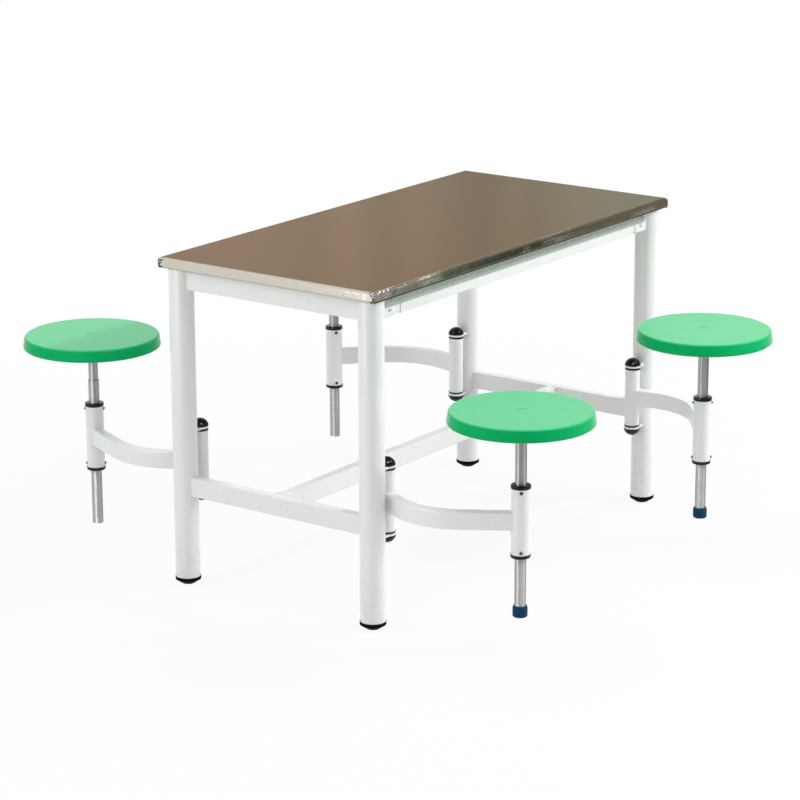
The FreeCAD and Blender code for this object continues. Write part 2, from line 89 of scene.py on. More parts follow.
# %% [markdown]
# ## Studio
#
# The table stands on a white sweep. To keep the background white without flooding the object with
# light, the floor and the world answer rays from the camera, from reflections and through glass with
# plain white, and all other rays with a quieter level, strongest near the horizon and to the left
# and right. Near the table some of the floor's own shading is mixed in, so the object keeps its shadow.

# %% Node helpers
def add_node(tree, kind, values=None, links=None):
    """A node with the given socket values, and links from other nodes' outputs to its sockets."""
    node = tree.nodes.new(kind)
    for socket, value in (values or {}).items():
        node.inputs[socket].default_value = value
    for socket, output in (links or {}).items():
        tree.links.new(output, node.inputs[socket])
    return node


def calculate(tree, operation, first, second):
    """One sum on two numbers, each of them an output or a plain value."""
    node = tree.nodes.new("ShaderNodeMath")
    node.operation = operation
    for socket, term in zip(node.inputs, (first, second)):
        if isinstance(term, (int, float)):
            socket.default_value = term
        else:
            tree.links.new(term, socket)
    return node.outputs[0]


def seen_directly(tree):
    """One for rays that show a surface: from the camera, in a reflection or through glass."""
    path = tree.nodes.new("ShaderNodeLightPath")
    reflected = calculate(tree, "MAXIMUM", path.outputs["Is Glossy Ray"], path.outputs["Is Transmission Ray"])
    return calculate(tree, "MAXIMUM", path.outputs["Is Camera Ray"], reflected)


# %% World and floor
white = (1.0, 1.0, 1.0, 1.0)
ambient_colour = (0.985, 0.995, 1.0, 1.0)
horizon_strength = 0.28
zenith_share = 0.25
side_lights = {
    (-0.866, 0.5, 0.0): 0.80,
    (0.766, -0.643, 0.0): 1.35,
    (-0.809, -0.588, 0.0): 0.10,
}
floor_half = 40.0
floor_colour = (0.66, 0.66, 0.66, 1.0)
floor_shadow_share = 0.08
shadow_near = 1.0
shadow_far = 2.4

world = bpy.data.worlds.new("white_studio")
world.use_nodes = True
tree = world.node_tree
ambient = tree.nodes["Background"]
ambient.inputs["Color"].default_value = ambient_colour
coordinates = tree.nodes.new("ShaderNodeTexCoord")
axes = add_node(tree, "ShaderNodeSeparateXYZ", links={0: coordinates.outputs["Generated"]})
sky = {"To Min": horizon_strength, "To Max": horizon_strength * zenith_share}
level = add_node(tree, "ShaderNodeMapRange", sky, {"Value": axes.outputs["Z"]}).outputs["Result"]
for direction, strength in side_lights.items():
    towards = add_node(tree, "ShaderNodeVectorMath", {1: direction}, {0: coordinates.outputs["Generated"]})
    towards.operation = "DOT_PRODUCT"
    lobe = calculate(tree, "MAXIMUM", towards.outputs["Value"], 0.0)
    level = calculate(tree, "ADD", calculate(tree, "MULTIPLY", lobe, strength), level)
tree.links.new(level, ambient.inputs["Strength"])
backdrop = add_node(tree, "ShaderNodeBackground", {"Color": white, "Strength": 1.0})
shaders = {0: seen_directly(tree), 1: ambient.outputs[0], 2: backdrop.outputs[0]}
choice = add_node(tree, "ShaderNodeMixShader", links=shaders)
tree.links.new(choice.outputs[0], tree.nodes["World Output"].inputs["Surface"])
bpy.context.scene.world = world

sweep = bpy.data.materials.new("white_sweep")
sweep.use_nodes = True
tree = sweep.node_tree
tree.nodes.remove(tree.nodes["Principled BSDF"])
paint = add_node(tree, "ShaderNodeBsdfDiffuse", {"Color": floor_colour})
glow = add_node(tree, "ShaderNodeEmission", {"Color": white, "Strength": 1.0})
coordinates = tree.nodes.new("ShaderNodeTexCoord")
distance = add_node(tree, "ShaderNodeVectorMath", links={0: coordinates.outputs["Object"]})
distance.operation = "LENGTH"
fade = {"From Min": shadow_near, "From Max": shadow_far, "To Min": 1 - floor_shadow_share, "To Max": 1.0}
plain = add_node(tree, "ShaderNodeMapRange", fade, {"Value": distance.outputs["Value"]})
glow_share = calculate(tree, "MULTIPLY", seen_directly(tree), plain.outputs["Result"])
choice = add_node(tree, "ShaderNodeMixShader", links={0: glow_share, 1: paint.outputs[0], 2: glow.outputs[0]})
tree.links.new(choice.outputs[0], tree.nodes["Material Output"].inputs["Surface"])


def stage_sheet(name, matrix, half_width, half_height, material):
    """A flat sheet of the studio, which isn't part of the object."""
    shape = bmesh.new()
    bmesh.ops.create_grid(shape, x_segments=1, y_segments=1, size=1.0)
    bmesh.ops.scale(shape, vec=(half_width, half_height, 1.0), verts=shape.verts)
    bmesh.ops.transform(shape, matrix=matrix, verts=shape.verts)
    mesh = bpy.data.meshes.new(name)
    shape.to_mesh(mesh)
    shape.free()
    mesh.materials.append(material)
    sheet = bpy.data.objects.new(name, mesh)
    bpy.context.scene.collection.objects.link(sheet)
    return sheet


stage_sheet("floor", Matrix.Identity(4), floor_half, floor_half, sweep)
print("floor", 2 * floor_half, "m across")

# %% [markdown]
# ### Lamps
#
# White tubes on white paper only read as round when their two sides are lit a little more than the
# middle. So a large soft box stands to the left of the table, a third of the way up the sky, and a
# small one higher up to the right, small enough for the table top to throw a clear shadow on the left
# seat. A quiet one overhead lifts the seats, and the pale surroundings do the rest. The left one is
# kept out of reflections, because the bright short edge of the top would mirror it.

# %% Lamps
lamp_aim = Vector((0, 0, 0.45))


def soft_box(name, place, width, height, power):
    """An area lamp at the place, aimed at the middle of the table."""
    lamp = bpy.data.lights.new(name, "AREA")
    lamp.shape = "RECTANGLE"
    lamp.size = width
    lamp.size_y = height
    lamp.energy = power
    holder = bpy.data.objects.new(name, lamp)
    facing = (lamp_aim - place).to_track_quat("-Z", "Y").to_matrix().to_4x4()
    holder.matrix_world = Matrix.Translation(place) @ facing
    bpy.context.scene.collection.objects.link(holder)
    return holder


left_box = soft_box("left_soft_box", Vector((-3.38, 1.95, 2.75)), width=4.0, height=3.0, power=48)
left_box.visible_glossy = False
soft_box("right_box", Vector((2.10, -3.00, 3.46)), width=0.4, height=0.3, power=122)
soft_box("overhead_soft_box", Vector((0.0, 0.0, 4.6)), width=3.0, height=3.0, power=98)
bpy.context.scene.view_settings.view_transform = "Standard"

# %% [markdown]
# ### Cards
#
# Bright metal and glossy plastic show what stands around them. A photographer gives them form with
# cards, and so does this studio: a dark one overhead, a bright one to the left for the streaks on
# the poles, a grey one in front for the dark side where the camera stands, two very bright ones high up
# for the sparks on black domes, and two beside and beyond the long edge of the top, which turn that
# edge dark, from green-black in the middle to brown at its far end. The one behind the table has faint
# upright bands, like the furniture of a room, and the satin top draws them out into soft streaks.
# The cards answer reflections only, so they cast no shadow and brighten nothing that is matt.

# %% Cards
def reflection_card(name, matrix, half_width, half_height, material):
    """A sheet that shows in reflections and nowhere else."""
    card = stage_sheet(name, matrix, half_width, half_height, material)
    card.visible_camera = False
    card.visible_diffuse = False
    card.visible_shadow = False
    card.visible_transmission = False
    return card


def card_cloth(name, axis, stops):
    """Cloth that glows by the colours at the given places along an axis."""
    material = bpy.data.materials.new(name)
    material.use_nodes = True
    tree = material.node_tree
    tree.nodes.remove(tree.nodes["Principled BSDF"])
    coordinates = tree.nodes.new("ShaderNodeTexCoord")
    axes = add_node(tree, "ShaderNodeSeparateXYZ", links={0: coordinates.outputs["Object"]})
    start, end = stops[0][0], stops[-1][0]
    span = {"From Min": start, "From Max": end}
    share = add_node(tree, "ShaderNodeMapRange", span, {"Value": axes.outputs[axis]})
    ramp = add_node(tree, "ShaderNodeValToRGB", links={"Fac": share.outputs["Result"]})
    while len(ramp.color_ramp.elements) < len(stops):
        ramp.color_ramp.elements.new(1.0)
    for element, (place, colour) in zip(ramp.color_ramp.elements, stops):
        element.position = (place - start) / (end - start)
        element.color = (*colour, 1.0)
    cloth = add_node(tree, "ShaderNodeEmission", {"Strength": 1.0}, {"Color": ramp.outputs["Color"]})
    tree.links.new(cloth.outputs[0], tree.nodes["Material Output"].inputs["Surface"])
    return material


ceiling_cloth = card_cloth("ceiling_cloth", "X", [(-1.9, (0.11, 0.11, 0.11)), (1.9, (0.13, 0.13, 0.13))])
reflection_card("ceiling_card", Matrix.Translation((0, 0, 4.2)), 1.9, 1.9, ceiling_cloth)

streak_cloth = card_cloth("streak_cloth", "Z", [(0.0, (3.6, 3.6, 3.6)), (1.8, (4.0, 4.0, 4.0))])
to_the_left = Matrix.Rotation(math.radians(172), 4, "Z") @ Matrix.Translation((2.6, 0, 0.9))
upright = Matrix.Rotation(-quarter_turn, 4, "Y") @ Matrix.Rotation(quarter_turn, 4, "Z")
reflection_card("streak_card", to_the_left @ upright, 0.65, 0.9, streak_cloth)

edge_card_stops = [
    (-0.10, (0.50, 0.51, 0.48)),
    (0.42, (0.44, 0.45, 0.42)),
    (0.66, (0.15, 0.152, 0.130)),
    (0.90, (0.060, 0.063, 0.047)),
    (1.20, (0.055, 0.057, 0.040)),
    (1.50, (0.20, 0.185, 0.145)),
    (3.00, (0.23, 0.185, 0.125)),
]
edge_cloth = card_cloth("edge_cloth", "X", edge_card_stops)
beside_the_edge = Matrix.Translation((1.45, -1.05, 1.1)) @ Matrix.Rotation(quarter_turn, 4, "X")
reflection_card("edge_card", beside_the_edge, 1.55, 0.9, edge_cloth)

wall_cloth = card_cloth("wall_cloth", "Y", [(-3.0, (0.13, 0.125, 0.10)), (0.5, (0.19, 0.18, 0.15))])
beyond_the_end = Matrix.Translation((3.2, -1.25, 2.5)) @ upright
reflection_card("wall_card", beyond_the_end, 1.75, 1.75, wall_cloth)

front_cloth = card_cloth("front_cloth", "Z", [(0.0, (0.36, 0.36, 0.36)), (1.3, (0.30, 0.30, 0.30))])
in_front = Matrix.Rotation(math.radians(216), 4, "Z") @ Matrix.Translation((1.7, 0, 0.65))
reflection_card("front_card", in_front @ upright, 1.1, 0.65, front_cloth)

room_stops = [
    (0.55, (1.0, 1.0, 1.0)),
    (1.08, (1.02, 1.07, 1.07)),
    (1.22, (1.02, 1.02, 1.0)),
    (1.33, (0.82, 0.80, 0.77)),
    (1.39, (0.90, 0.86, 0.82)),
    (1.47, (0.70, 0.69, 0.68)),
    (1.65, (1.04, 1.01, 1.0)),
    (1.74, (0.82, 0.92, 0.86)),
    (1.83, (1.22, 1.17, 1.18)),
    (1.92, (0.95, 1.0, 0.97)),
    (2.12, (1.20, 1.15, 1.18)),
    (2.74, (1.0, 1.0, 1.0)),
]
room_cloth = card_cloth("room_cloth", "Y", room_stops)
behind_the_table = Matrix.Rotation(camera_heading, 4, "Z") @ Matrix.Translation((2.8, 0, 1.9))
reflection_card("room_card", behind_the_table @ upright, 1.35, 1.5, room_cloth)

spark_cloth = card_cloth("spark_cloth", "Z", [(2.4, (36.0, 36.0, 36.0)), (3.5, (40.0, 40.0, 40.0))])
for heading, height in ((176, 3.0), (238, 2.9)):
    behind_the_camera = Matrix.Rotation(math.radians(heading), 4, "Z") @ Matrix.Translation((2.4, 0, height))
    reflection_card("spark_%d_card" % heading, behind_the_camera @ upright, 0.50, 0.42, spark_cloth)

# %% [markdown]
# ## Finishes
#
# Each finish starts from one Principled shader with its plain values on its own sockets. What varies
# over the surface comes from noise on Object coordinates, which are the table's own metres, so a
# scale of 500 means specks of about two millimetres.

# %% Helpers for finishes
def start_finish(name, colour, metallic, roughness):
    """A material with plain values, its node tree and its shader."""
    material = bpy.data.materials.new(name)
    material.use_nodes = True
    shader = material.node_tree.nodes["Principled BSDF"]
    shader.inputs["Base Color"].default_value = (*colour, 1.0)
    shader.inputs["Metallic"].default_value = metallic
    shader.inputs["Roughness"].default_value = roughness
    return material, material.node_tree, shader


def specks(tree, scale, stretch=(1.0, 1.0, 1.0), detail=3.0):
    """Noise on the object's own metres. A stretch below one draws the specks out along that axis."""
    coordinates = tree.nodes.new("ShaderNodeTexCoord")
    metres = {"Vector": coordinates.outputs["Object"]}
    mapping = add_node(tree, "ShaderNodeMapping", {"Scale": stretch}, metres)
    values = {"Scale": scale, "Detail": detail}
    noise = add_node(tree, "ShaderNodeTexNoise", values, {"Vector": mapping.outputs[0]})
    return noise.outputs["Fac"]


def spread(tree, factor, low, high, start=0.3, end=0.7):
    """The factor's usual span, drawn out to run from low to high."""
    values = {"From Min": start, "From Max": end, "To Min": low, "To Max": high}
    return add_node(tree, "ShaderNodeMapRange", values, {"Value": factor}).outputs["Result"]


def blend_colours(tree, factor, first, second):
    """Two colours mixed by a factor. A colour may be three numbers or an output."""
    node = tree.nodes.new("ShaderNodeMix")
    node.data_type = "RGBA"
    tree.links.new(factor, node.inputs["Factor"])
    for socket, colour in zip((node.inputs[6], node.inputs[7]), (first, second)):
        if isinstance(colour, tuple):
            socket.default_value = (*colour, 1.0)
        else:
            tree.links.new(colour, socket)
    return node.outputs[2]


def raise_surface(tree, shader, height, depth, strength):
    """A bump of the given depth in metres."""
    values = {"Distance": depth, "Strength": strength}
    bump = add_node(tree, "ShaderNodeBump", values, {"Height": height})
    tree.links.new(bump.outputs["Normal"], shader.inputs["Normal"])


# %% [markdown]
# ### White powder coat
#
# Powder coat flows out in the oven and sets with a faint orange peel. The white is a cool grey-white
# that varies a little over a tube, and near the floor it carries a trace of mop water.

# %% White powder coat
coat_white = (0.80, 0.812, 0.803)
coat_shade = (0.765, 0.777, 0.768)
coat_dust = (0.66, 0.65, 0.62)
dust_height = 0.14

white_coat, tree, shader = start_finish("white_powder_coat", coat_white, 0.0, 0.32)
cloudy = blend_colours(tree, spread(tree, specks(tree, 4.0), 0.0, 1.0), coat_white, coat_shade)
coordinates = tree.nodes.new("ShaderNodeTexCoord")
axes = add_node(tree, "ShaderNodeSeparateXYZ", links={0: coordinates.outputs["Object"]})
low_down = spread(tree, axes.outputs["Z"], 0.5, 0.0, 0.0, dust_height)
dusty = calculate(tree, "MULTIPLY", low_down, spread(tree, specks(tree, 55.0), 0.0, 1.0))
tree.links.new(blend_colours(tree, dusty, cloudy, coat_dust), shader.inputs["Base Color"])
tree.links.new(spread(tree, specks(tree, 30.0), 0.27, 0.37), shader.inputs["Roughness"])
shader.inputs["Coat Weight"].default_value = 0.25
shader.inputs["Coat Roughness"].default_value = 0.12
raise_surface(tree, shader, specks(tree, 420.0, detail=1.0), 0.0004, 0.12)
print("finish", white_coat.name)

# %% [markdown]
# ### Moulded plastics
#
# Domes and bushes are glossy black mouldings, and the feet are dull black rubber. The seats are a satin
# green with the fine grain of a spark-eroded mould; their faces that look up are painted a paler green,
# as painted light from above. The pole caps are a soft blue. On the seats, sheen gives the pale haze that
# such plastic shows at a glancing angle.

# %% Plastics
def moulded(name, colour, rubbed, roughness, grain_scale, grain_depth, specular_level,
            sheen=0.0, painted_top_light=None):
    """A moulded plastic: cloudy colour, uneven gloss, a fine grain. Faces that look up may get painted light.
    """
    material, tree, shader = start_finish(name, colour, 0.0, roughness)
    cloud = spread(tree, specks(tree, 9.0), 0.0, 1.0, 0.35, 0.75)
    cloudy = blend_colours(tree, cloud, colour, rubbed)
    # Painted light: faces that look up get a paler colour, as if lit from above.
    if painted_top_light:
        coordinates = tree.nodes.new("ShaderNodeTexCoord")
        facing = add_node(tree, "ShaderNodeSeparateXYZ", links={0: coordinates.outputs["Normal"]})
        upwards = spread(tree, facing.outputs["Z"], 0.0, 1.0, 0.5, 0.95)
        cloudy = blend_colours(tree, upwards, cloudy, painted_top_light)
    tree.links.new(cloudy, shader.inputs["Base Color"])
    gloss = spread(tree, specks(tree, 38.0), roughness * 0.88, roughness * 1.15)
    tree.links.new(gloss, shader.inputs["Roughness"])
    shader.inputs["Specular IOR Level"].default_value = specular_level
    shader.inputs["Sheen Weight"].default_value = sheen
    shader.inputs["Sheen Roughness"].default_value = 0.28
    raise_surface(tree, shader, specks(tree, grain_scale, detail=2.0), grain_depth, 0.25)
    print("finish", name)
    return material


black_plastic = moulded("black_moulding", (0.005, 0.005, 0.006), (0.009, 0.009, 0.010), roughness=0.14,
                        grain_scale=700.0, grain_depth=0.0002, specular_level=0.26)
rubber = moulded("foot_rubber", (0.004, 0.004, 0.004), (0.007, 0.007, 0.007), roughness=0.6,
                 grain_scale=700.0, grain_depth=0.0002, specular_level=0.02)
# The paler colour on the seats' upper faces is painted light from above.
green_plastic = moulded("green_moulding", (0.0004, 0.385, 0.108), (0.0008, 0.400, 0.116), roughness=0.34,
                        grain_scale=900.0, grain_depth=0.0003, specular_level=0.04,
                        sheen=0.80, painted_top_light=(0.055, 0.440, 0.180))
blue_plastic = moulded("blue_soft_moulding", (0.003, 0.042, 0.100), (0.005, 0.050, 0.115), roughness=0.50,
                       grain_scale=800.0, grain_depth=0.0003, specular_level=0.08)
nylon = moulded("natural_nylon", (0.70, 0.68, 0.60), (0.74, 0.72, 0.65), roughness=0.45,
                grain_scale=500.0, grain_depth=0.0003, specular_level=0.5)

# %% [markdown]
# ### Steel of the top
#
# The skin of the top is one stainless sheet. Its flat face is satin; its brown, drifting towards olive
# at one end, is painted reflection of a brown room. The rolled edge, stretched over the former, is
# brighter and crumpled in patches; where the long sides curl under it is painted dark and dull, as
# painted shade. Pale pink specks on the roll near one corner are painted glints. The
# surface normal tells these places apart: it points straight up on the flat only. The specular tint of
# a metal is its colour at a glancing angle, and here it keeps the painted brown of the flat when seen
# from low down. The flat is only partly metal, so that the painted brown stays even where it mirrors
# something dark.

# %% Stainless top
# Painted reflection: the brown and olive of the flat stand for a brown room mirrored in plain stainless.
painted_brown_reflection = (0.190, 0.128, 0.078)
painted_olive_reflection = (0.142, 0.149, 0.099)
satin_streak = (0.40, 0.34, 0.27)
edge_steel = (0.60, 0.57, 0.495)
# Painted shade: the dark colour of the roll where the long sides curl under.
painted_curl_shade = (0.045, 0.045, 0.038)
# Painted glints: the pale pink of the specks on the roll near one corner.
painted_glint_pink = (0.66, 0.59, 0.62)
satin_metal = 0.65
painted_glancing_brown = (0.60, 0.535, 0.485, 1.0)

stainless_top, tree, shader = start_finish("satin_stainless_top", painted_brown_reflection, 1.0, 0.36)
shader.inputs["Specular Tint"].default_value = painted_glancing_brown
shader.inputs["Specular IOR Level"].default_value = 0.0
coordinates = tree.nodes.new("ShaderNodeTexCoord")
axes = add_node(tree, "ShaderNodeSeparateXYZ", links={0: coordinates.outputs["Object"]})
facing = add_node(tree, "ShaderNodeSeparateXYZ", links={0: coordinates.outputs["Normal"]})
flat = spread(tree, facing.outputs["Z"], 0.0, 1.0, 0.80, 0.97)
curled = spread(tree, facing.outputs["Z"], 0.0, 1.0, -0.20, -0.03)
rolled = calculate(tree, "SUBTRACT", 1.0, flat)
slant = calculate(tree, "SUBTRACT", axes.outputs["X"], axes.outputs["Y"])
drift = calculate(tree, "ADD", slant, specks(tree, 2.5))
towards_olive = spread(tree, drift, 0.0, 1.0, 0.5, 1.25)
grain = specks(tree, 700.0, stretch=(0.012, 1.0, 1.0), detail=4.0)
# Painted reflection: the flat's colour drifts from brown to olive, as its mirrored surroundings would.
face = blend_colours(tree, towards_olive, painted_brown_reflection, painted_olive_reflection)
face = blend_colours(tree, spread(tree, grain, 0.0, 0.10), face, satin_streak)
across = calculate(tree, "ABSOLUTE", axes.outputs["Y"], 0.0)
# Painted shade: where the long sides curl under, the roll is painted dark and left non-metal.
outside_painted_shade = calculate(tree, "MAXIMUM", curled, spread(tree, across, 1.0, 0.0, 0.285, 0.291))
near_side = spread(tree, axes.outputs["Y"], 1.0, 0.0, -0.293, -0.290)
edge = blend_colours(tree, outside_painted_shade, painted_curl_shade, edge_steel)
# Painted glints: pale pink specks on the upper roll near one corner, painted as non-metal.
by_the_corner = spread(tree, axes.outputs["X"], 1.0, 0.0, -0.60, -0.40)
on_the_roll = spread(tree, facing.outputs["Z"], 0.0, 1.0, 0.10, 0.35)
glint_specks = spread(tree, specks(tree, 260.0, detail=1.0), 0.0, 1.0, 0.54, 0.62)
painted_glints = calculate(tree, "MULTIPLY", by_the_corner, glint_specks)
painted_glints = calculate(tree, "MULTIPLY", painted_glints, calculate(tree, "MULTIPLY", on_the_roll, near_side))
edge = blend_colours(tree, painted_glints, edge, painted_glint_pink)
plain_metal = calculate(tree, "SUBTRACT", outside_painted_shade, painted_glints)
metal_share = spread(tree, flat, 1.0, satin_metal, 0.0, 1.0)
tree.links.new(calculate(tree, "MULTIPLY", plain_metal, metal_share), shader.inputs["Metallic"])
tree.links.new(blend_colours(tree, flat, edge, face), shader.inputs["Base Color"])
satin = calculate(tree, "MULTIPLY", flat, spread(tree, grain, 0.11, 0.15))
polish = calculate(tree, "MULTIPLY", rolled, spread(tree, specks(tree, 90.0), 0.10, 0.20))
tree.links.new(calculate(tree, "ADD", satin, polish), shader.inputs["Roughness"])
long_side = calculate(tree, "ABSOLUTE", facing.outputs["Y"], 0.0)
handled = spread(tree, specks(tree, 8.0, detail=1.0), 0.2, 3.0, 0.48, 0.60)
patches = calculate(tree, "MULTIPLY", long_side, handled)
crumple = calculate(tree, "MULTIPLY", patches, specks(tree, 230.0, detail=1.0))
waves = calculate(tree, "MULTIPLY", specks(tree, 60.0, detail=2.0), 0.25)
dents = calculate(tree, "ADD", waves, crumple)
raise_surface(tree, shader, calculate(tree, "MULTIPLY", rolled, dents), 0.0016, 0.35)
print("finish", stainless_top.name)

# %% [markdown]
# ### Other metals
#
# The strips under the long edges are brushed across at a slant. The poles are polished tube, with
# fine rings from the polishing wheel. Such rings throw light up and down the tube but hardly round
# it, which is what the anisotropic socket does, so each lamp shows as an upright streak. Screws and
# pins are zinc plated, and the small screws in the sleeves are blackened.

# %% Brushed, polished and plated steel
def steel(name, colour, glancing, roughness, stretch, scale, depth, ringed=0.0, metallic=1.0):
    """Bare metal whose fine lines run along the axis with the smallest stretch."""
    material, tree, shader = start_finish(name, colour, metallic, roughness)
    if ringed:
        shader.inputs["Anisotropic"].default_value = ringed
        tangent = tree.nodes.new("ShaderNodeTangent")
        tangent.direction_type = "RADIAL"
        tangent.axis = "Z"
        shader.inputs["Anisotropic Rotation"].default_value = 0.25
        tree.links.new(tangent.outputs["Tangent"], shader.inputs["Tangent"])
    shader.inputs["Specular Tint"].default_value = (glancing, glancing, glancing, 1.0)
    lines = specks(tree, scale, stretch, detail=4.0)
    darker = tuple(channel * 0.82 for channel in colour)
    lined = blend_colours(tree, spread(tree, lines, 0.0, 1.0), darker, colour)
    tree.links.new(lined, shader.inputs["Base Color"])
    tree.links.new(spread(tree, lines, roughness * 0.85, roughness * 1.2), shader.inputs["Roughness"])
    raise_surface(tree, shader, lines, depth, 0.2)
    print("finish", name)
    return material


no_stretch = (1.0, 1.0, 1.0)
strip_steel = steel("brushed_strip", (0.53, 0.57, 0.51), glancing=0.8, roughness=0.42,
                    stretch=(0.35, 1.0, 0.05), scale=800.0, depth=0.0002, metallic=0.35)
polished_stainless = steel("polished_tube", (0.525, 0.525, 0.52), glancing=0.45, roughness=0.42,
                           stretch=(0.03, 0.03, 1.0), scale=500.0, depth=0.0001, ringed=0.9)
zinc_steel = steel("zinc_plate", (0.62, 0.63, 0.63), glancing=0.8, roughness=0.34,
                   stretch=no_stretch, scale=300.0, depth=0.0002, metallic=0.5)
black_steel = steel("blackened_screw", (0.10, 0.10, 0.105), glancing=0.5, roughness=0.20,
                    stretch=no_stretch, scale=300.0, depth=0.0002)

# %% Board under the top
board_pale = (0.50, 0.37, 0.23)
board_dark = (0.36, 0.25, 0.15)
board, tree, shader = start_finish("pressed_board", board_pale, 0.0, 0.75)
chips = specks(tree, 240.0, stretch=(0.25, 1.0, 1.0))
chipped = blend_colours(tree, spread(tree, chips, 0.0, 1.0), board_pale, board_dark)
tree.links.new(chipped, shader.inputs["Base Color"])
raise_surface(tree, shader, chips, 0.0008, 0.4)
print("finish", board.name)

# %% Finish each node by its material slot
finishes = {
    "stainless_top": stainless_top,
    "board": board,
    "strip_steel": strip_steel,
    "white_coat": white_coat,
    "black_plastic": black_plastic,
    "green_plastic": green_plastic,
    "blue_plastic": blue_plastic,
    "polished_stainless": polished_stainless,
    "zinc_steel": zinc_steel,
    "black_steel": black_steel,
    "nylon": nylon,
}
for part in frame["record"]["subparts"]:
    mesh = frame["nodes"][part["node"]].data
    mesh.materials.clear()
    mesh.materials.append(finishes[part["material_slot"]])
frame["nodes"]["foot_plugs"].data.materials[0] = rubber

# %% [markdown]
# ## Weld beads
#
# The white frame is welded up before it is coated, so every joint between two tubes carries a small
# bead with the coat flowing over it. A bead follows the outline of the joining tube's section, laid
# on the surface that it meets. The outline starts as one square face: its corners are bevelled round,
# its sides divided, and the points are read off in order. A curve with a round bevel then makes the
# bead, and the points' radius gives it the ripple of a hand weld.

# %% Outline of a tube's section
bead_radius = 0.0026
bead_step = 0.003
tube_corner = 0.003
tube_width = 0.025
apron_depth = 0.0475
stretcher_depth = 0.044
arm_depth = 0.040


def section_outline(width, height):
    """The outline of a rectangular section as points in order round it, a ripple apart."""
    section = bmesh.new()
    bmesh.ops.create_grid(section, x_segments=1, y_segments=1, size=0.5)
    bmesh.ops.scale(section, vec=(width, height, 1), verts=section.verts)
    bmesh.ops.bevel(section, geom=section.verts[:], offset=tube_corner, segments=4, profile=0.5,
                    affect="VERTICES", material=-1)
    for axis in (0, 1):
        sides = [edge for edge in section.edges
                 if abs(edge.verts[0].co[axis] - edge.verts[1].co[axis]) > 1.5 * bead_step]
        if sides:
            cuts = round(sides[0].calc_length() / bead_step)
            bmesh.ops.subdivide_edges(section, edges=sides, cuts=cuts)
    section.faces.ensure_lookup_table()
    points = [corner.co.copy() for corner in section.faces[0].verts]
    section.free()
    return points


def open_above(points, limit):
    """The outline without what lies above the limit, for a tube that ends under the table top."""
    first = next(i for i in range(len(points)) if points[i - 1].y > limit >= points[i].y)
    turned = points[first:] + points[:first]
    return [point for point in turned if point.y <= limit]


print("outline of an apron", len(section_outline(tube_width, apron_depth)), "points")

# %% Laying a bead
def on_wall(points, spot, heading, radius=0.0):
    """The outline placed on a flat wall, or on an upright round tube whose axis passes the spot."""
    out = Vector((math.cos(heading), math.sin(heading), 0))
    across = Vector((-math.sin(heading), math.cos(heading), 0))
    up = Vector((0, 0, 1))
    placed = []
    for point in points:
        reach = math.sqrt(radius ** 2 - point.x ** 2) if radius else 0.0
        placed.append(spot + out * reach + across * point.x + up * point.y)
    return placed


def lay_bead(shape, points, closed, radius=bead_radius):
    """Adds one rippled bead along the points to the mesh."""
    curve = bpy.data.curves.new("bead", "CURVE")
    curve.dimensions = "3D"
    curve.bevel_depth = radius
    curve.bevel_resolution = 2
    curve.use_fill_caps = not closed
    spline = curve.splines.new("POLY")
    spline.points.add(len(points) - 1)
    spline.use_cyclic_u = closed
    for count, (place, point) in enumerate(zip(points, spline.points)):
        point.co = (*place, 1.0)
        ripple = 0.13 * math.sin(2.1 * count)
        wander = 0.09 * math.sin(0.53 * count + 1.0)
        point.radius = 1.0 + ripple + wander
    holder = bpy.data.objects.new("bead", curve)
    mesh = bpy.data.meshes.new_from_object(holder)
    shape.from_mesh(mesh)
    bpy.data.objects.remove(holder)
    bpy.data.curves.remove(curve)
    bpy.data.meshes.remove(mesh)


def finish_piece(shape, name, body, material, smooth=True):
    """Closes a mesh, turns its faces outwards and hands it to its body."""
    bmesh.ops.remove_doubles(shape, verts=shape.verts, dist=1e-6)
    bmesh.ops.recalc_face_normals(shape, faces=shape.faces)
    for face in shape.faces:
        face.smooth = smooth
    mesh = bpy.data.meshes.new(name)
    shape.to_mesh(mesh)
    shape.free()
    mesh.materials.append(material)
    piece = bpy.data.objects.new(name, mesh)
    bpy.context.scene.collection.objects.link(piece)
    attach(piece, body)
    print("piece", name, "rides on", body, "with", len(mesh.polygons), "faces")
    return piece


# %% [markdown]
# ### Welds of the frame
#
# Aprons and stubs end under the table top, so their beads run down one side, across below and up the
# other. Stretchers are welded all round, and so are the flat ears that carry the pivots.

# %% Frame welds
def middle(node):
    """The middle of a node's box."""
    low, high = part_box(node)
    return (low + high) / 2


def half_turn_if(wanted):
    """The heading of +X, or of -X where wanted."""
    return math.pi if wanted else 0.0


leg_radius = 0.0285
ear_width = 0.028
ear_gauge = 0.005
apron_outline = section_outline(tube_width, apron_depth)
apron_outline = open_above(apron_outline, apron_depth / 2 - 2 * bead_radius)
stretcher_outline = section_outline(tube_width, stretcher_depth)
ear_outline = section_outline(ear_width, ear_gauge + 2 * bead_radius)
apron_height = middle("end_aprons").z
stretcher_height = middle("end_stretchers").z
ear_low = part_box("pivot_ears")[0].z + ear_gauge / 2
ear_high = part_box("pivot_ears")[1].z - ear_gauge / 2

